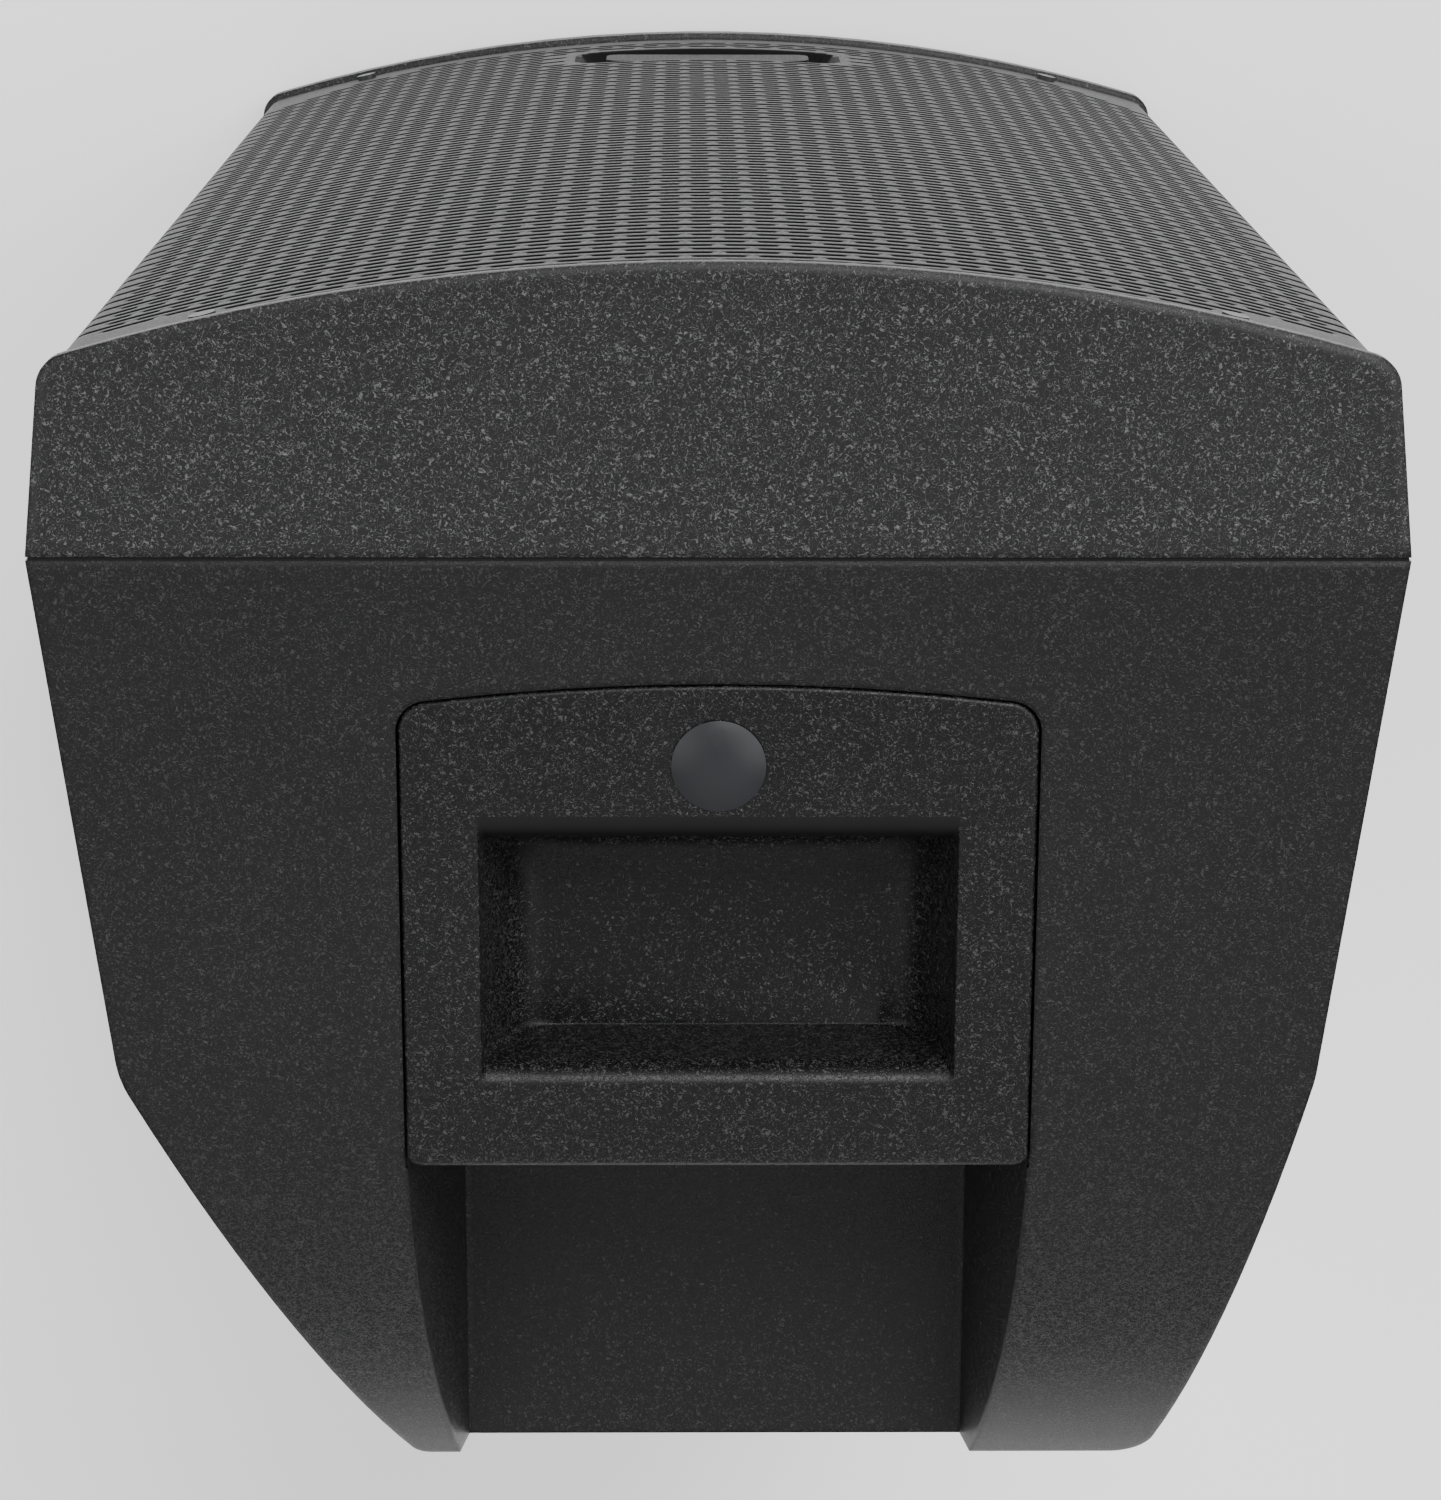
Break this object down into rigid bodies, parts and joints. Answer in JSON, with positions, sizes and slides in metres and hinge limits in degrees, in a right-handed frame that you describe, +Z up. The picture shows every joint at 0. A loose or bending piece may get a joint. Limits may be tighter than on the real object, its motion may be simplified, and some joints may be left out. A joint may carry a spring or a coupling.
{
  "type": "pa speaker cabinet",
  "caption": "Moulded two-way loudspeaker cabinet with a curved slotted grille, recessed top handle and amplifier panel.",
  "frame": {"origin": "middle of the base, level with the undersides of the feet", "axes": "+Z up along the height, front grille towards -Y, back panel towards +Y, the wing cut away more is at +X"},
  "size_m": [0.3558, 0.358, 0.6031],
  "materials": {
    "shell_plastic": "fine worm-grain moulded polypropylene",
    "frame_plastic": "fine worm-grain moulded polypropylene",
    "handle_plastic": "textured plastic",
    "cap_plastic": "smooth satin plastic",
    "grille_steel": "satin powder coat",
    "badge_metal": "brushed and anodised",
    "cloth": "open weave",
    "rubber": "soft matt rubber",
    "gasket_foam": "closed cell foam",
    "black_screws": "black oxide",
    "steel_screws": "zinc plated",
    "insert_steel": "turned steel",
    "horn_plastic": "smooth moulded plastic",
    "driver_metal": "black paint",
    "basket_metal": "satin black",
    "cone_paper": "pressed paper pulp",
    "coil_copper": "enamelled wire",
    "surround_cloth": "treated cloth",
    "spider_cloth": "resin treated cloth",
    "port_plastic": "smooth moulded plastic",
    "wadding": "polyester wadding",
    "panel_metal": "fine texture powder coat",
    "sink_metal": "black anodised",
    "board": "glass fibre board with parts",
    "winding": "copper winding under tape",
    "knob_plastic": "soft touch",
    "button_plastic": "moulded",
    "lens": "clear green lens",
    "socket_plastic": "moulded nylon",
    "latch_metal": "pressed steel",
    "rocker_plastic": "moulded",
    "pole_plastic": "glass filled nylon",
    "wire_plastic": "insulated wire"
  },
  "bodies": {
    "cabinet": {"front_frame": "frame_plastic", "rear_shell": "shell_plastic", "shell_gasket": "gasket_foam", "shell_screws": "black_screws", "grille": "grille_steel", "grille_cloth": "cloth", "grille_screws": "black_screws", "badge_plate": "badge_metal", "handle_cup": "handle_plastic", "handle_screws": "steel_screws", "rigging_insert": "insert_steel", "horn": "horn_plastic", "compression_driver": "driver_metal", "horn_screws": "black_screws", "woofer_basket": "basket_metal", "woofer_magnet": "driver_metal", "woofer_surround": "surround_cloth", "woofer_spider": "spider_cloth", "woofer_gasket": "gasket_foam", "woofer_screws": "black_screws", "port_tubes": "port_plastic", "damping_pads": "wadding", "amp_panel": "panel_metal", "heat_sink": "sink_metal", "amp_board": "board", "power_transformer": "winding", "panel_screws": "black_screws", "status_lens": "lens", "combo_jack_left": "socket_plastic", "combo_jack_right": "socket_plastic", "output_socket": "socket_plastic", "power_inlet": "socket_plastic", "switch_frame": "socket_plastic", "pole_socket": "pole_plastic", "pole_socket_screws": "steel_screws", "feet": "rubber", "foot_screws": "steel_screws", "monitor_feet": "rubber", "wiring_harness": "wire_plastic"},
    "cone_assembly": {"woofer_cone": "cone_paper", "dust_cap": "cone_paper", "voice_coil": "coil_copper"},
    "cap": {"rigging_cap": "cap_plastic"},
    "knob_left": {"knob_left": "knob_plastic"},
    "knob_middle": {"knob_middle": "knob_plastic"},
    "knob_right": {"knob_right": "knob_plastic"},
    "select_button": {"select_button": "button_plastic"},
    "boost_button": {"boost_button": "button_plastic"},
    "latch_left": {"latch_left": "latch_metal"},
    "latch_right": {"latch_right": "latch_metal"},
    "rocker": {"power_switch": "rocker_plastic"}
  },
  "joints": [
    {"name": "cone_travel", "type": "slide", "parent": "cabinet", "child": "cone_assembly", "axis": [0, -1, 0], "range_m": [-0.004, 0.004], "stiffness_N_per_m": 3500, "deforming": ["woofer_surround", "woofer_spider"]},
    {"name": "cap_pull", "type": "slide", "parent": "cabinet", "child": "cap", "axis": [0, 0.0349, 0.9994], "range_m": [0, 0.06]},
    {"name": "knob_left_turn", "type": "hinge", "parent": "cabinet", "child": "knob_left", "pos_m": [0.035, 0.169, 0.388], "axis": [0, 1, 0], "range_deg": [-140, 140]},
    {"name": "knob_middle_turn", "type": "hinge", "parent": "cabinet", "child": "knob_middle", "pos_m": [-0.02, 0.169, 0.388], "axis": [0, 1, 0], "range_deg": [-140, 140]},
    {"name": "knob_right_turn", "type": "hinge", "parent": "cabinet", "child": "knob_right", "pos_m": [-0.075, 0.169, 0.388], "axis": [0, 1, 0], "range_deg": [-140, 140]},
    {"name": "select_button_press", "type": "slide", "parent": "cabinet", "child": "select_button", "axis": [0, -1, 0], "range_m": [0, 0.002], "stiffness_N_per_m": 500},
    {"name": "boost_button_press", "type": "slide", "parent": "cabinet", "child": "boost_button", "axis": [0, -1, 0], "range_m": [0, 0.002], "stiffness_N_per_m": 500},
    {"name": "latch_left_press", "type": "slide", "parent": "cabinet", "child": "latch_left", "axis": [0, -1, 0], "range_m": [0, 0.0015], "stiffness_N_per_m": 500},
    {"name": "latch_right_press", "type": "slide", "parent": "cabinet", "child": "latch_right", "axis": [0, -1, 0], "range_m": [0, 0.0015], "stiffness_N_per_m": 500},
    {"name": "rocker_tip", "type": "hinge", "parent": "cabinet", "child": "rocker", "pos_m": [-0.062, 0.168, 0.084], "axis": [0, 0, 1], "range_deg": [0, 20]}
  ]
}
